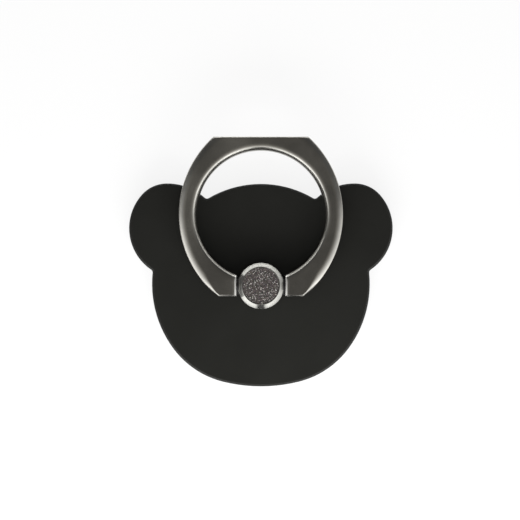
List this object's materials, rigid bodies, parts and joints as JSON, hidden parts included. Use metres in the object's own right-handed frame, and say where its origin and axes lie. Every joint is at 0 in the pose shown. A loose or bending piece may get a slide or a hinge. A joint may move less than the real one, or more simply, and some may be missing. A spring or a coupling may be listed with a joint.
{
  "type": "phone ring holder",
  "caption": "Flat stick-on plate with a rounded animal-head outline, a turning hub with a glitter inlay and a folding finger ring with a flat top edge.",
  "frame": {"origin": "swivel axis at the adhesive pad's back face, which lies on the phone", "axes": "+Z out of the phone along the swivel axis, +Y from the hub towards the ears, +X to the right seen from the front"},
  "size_m": [0.0414, 0.0392, 0.0069],
  "materials": {
    "adhesive_foam": "matte foam with a tacky face",
    "plate_black": "satin black, fine grain",
    "nylon": "natural nylon",
    "bush_acetal": "black acetal",
    "hub_metal": "polished black nickel plate",
    "washer_steel": "plain spring steel",
    "glitter": "dark glitter under clear lacquer",
    "pin_steel": "blackened ground steel",
    "ring_metal": "polished black nickel plate"
  },
  "bodies": {
    "plate": {"base_plate": "plate_black", "adhesive_pad": "adhesive_foam"},
    "swivel": {"swivel_hub": "hub_metal", "hub_inlay": "glitter", "slip_washer": "nylon", "wave_washer": "washer_steel", "retaining_washer": "washer_steel", "bush_left": "bush_acetal", "bush_right": "bush_acetal"},
    "ring": {"finger_ring": "ring_metal", "hinge_pin": "pin_steel"}
  },
  "joints": [
    {"name": "swivel_turn", "type": "hinge", "parent": "plate", "child": "swivel", "pos_m": [0, 0, 0.0028], "axis": [0, 0, 1], "continuous": true},
    {"name": "ring_fold", "type": "hinge", "parent": "swivel", "child": "ring", "pos_m": [0, 0, 0.00505], "axis": [1, 0, 0], "range_deg": [0, 180]}
  ]
}
